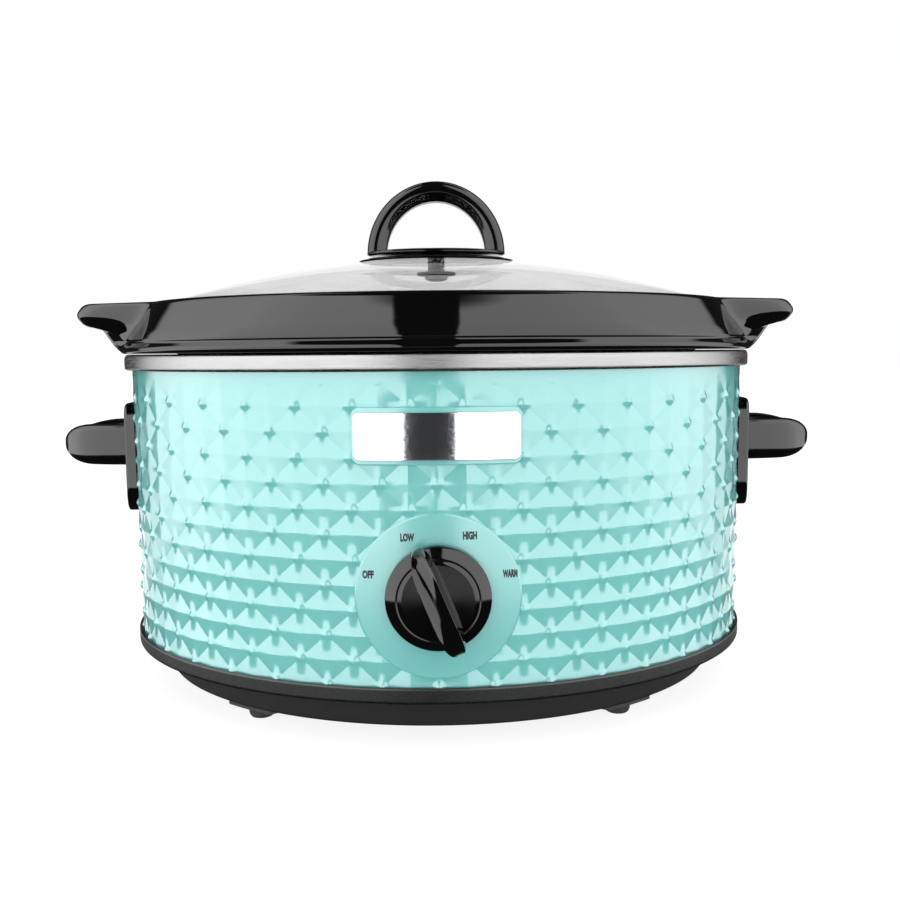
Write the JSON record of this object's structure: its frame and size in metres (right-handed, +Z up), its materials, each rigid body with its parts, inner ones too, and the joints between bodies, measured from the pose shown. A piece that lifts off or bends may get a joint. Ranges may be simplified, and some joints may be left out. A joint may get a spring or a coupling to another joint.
{
  "type": "slow cooker",
  "caption": "Oval slow cooker: embossed heating base with a rotary dial and side handles, a lift-out glazed crock and a domed glass lid with an arch handle.",
  "frame": {"origin": "centre of the object's bounding box on the plane the feet stand on", "axes": "+X to the right along the long side, +Y from the dial to the rear, +Z up"},
  "size_m": [0.3512, 0.244, 0.2262],
  "materials": {
    "enamel": "satin turquoise stove enamel on pressed steel, embossed with rows of small diamonds and studs",
    "tray_plastic": "black heat-resistant plastic, fine satin texture",
    "gloss_plastic": "black moulded phenolic plastic, gloss",
    "stoneware": "black glossy glaze",
    "rubber": "matt black",
    "glass": "clear tempered glass, polished",
    "aluminium": "bright satin",
    "chrome": "polished",
    "steel": "zinc-plated, dull",
    "mica": "mica and glass-cloth wrap round a resistance winding",
    "switch_plastic": "ivory thermoset plastic",
    "lead_red": "red glass-sleeved wire",
    "lead_white": "white glass-sleeved wire",
    "silicone": "translucent silicone"
  },
  "bodies": {
    "base": {"base_tray": "tray_plastic", "foot_front_left": "rubber", "foot_front_right": "rubber", "foot_rear_left": "rubber", "foot_rear_right": "rubber", "outer_shell": "enamel", "heating_liner": "aluminium", "heat_shield": "steel", "liner_bolt_left": "steel", "liner_bolt_right": "steel", "liner_nut_left": "steel", "liner_nut_right": "steel", "spacer_lower_left": "steel", "spacer_lower_right": "steel", "spacer_upper_left": "steel", "spacer_upper_right": "steel", "heater_band": "mica", "clamp_bolt": "steel", "clamp_nut": "steel", "thermal_fuse": "switch_plastic", "fuse_clip": "steel", "terminal_block": "switch_plastic", "lead_live": "lead_red", "lead_neutral": "lead_white", "lead_heater": "lead_red", "cord_gland": "tray_plastic", "side_handle_left": "gloss_plastic", "side_handle_right": "gloss_plastic", "handle_screw_left_front": "steel", "handle_screw_left_rear": "steel", "handle_screw_right_front": "steel", "handle_screw_right_rear": "steel", "badge_plate": "chrome", "badge_clip_left": "steel", "badge_clip_right": "steel", "rotary_switch": "switch_plastic", "switch_nut": "steel"},
    "crock": {"crock": "stoneware"},
    "lid": {"lid_glass": "glass", "lid_handle_plate": "gloss_plastic", "lid_handle": "gloss_plastic", "lid_washer": "silicone", "lid_screw": "steel"},
    "knob": {"control_knob": "gloss_plastic", "switch_shaft": "steel"}
  },
  "joints": [
    {"name": "crock_lift", "type": "slide", "parent": "base", "child": "crock", "axis": [0, 0, 1], "range_m": [0, 0.16]},
    {"name": "lid_lift", "type": "slide", "parent": "crock", "child": "lid", "axis": [0, 0, 1], "range_m": [0, 0.1]},
    {"name": "knob_turn", "type": "hinge", "parent": "base", "child": "knob", "pos_m": [0, -0.1015, 0.0584], "axis": [0, 1, 0], "range_deg": [-45, 90]}
  ]
}
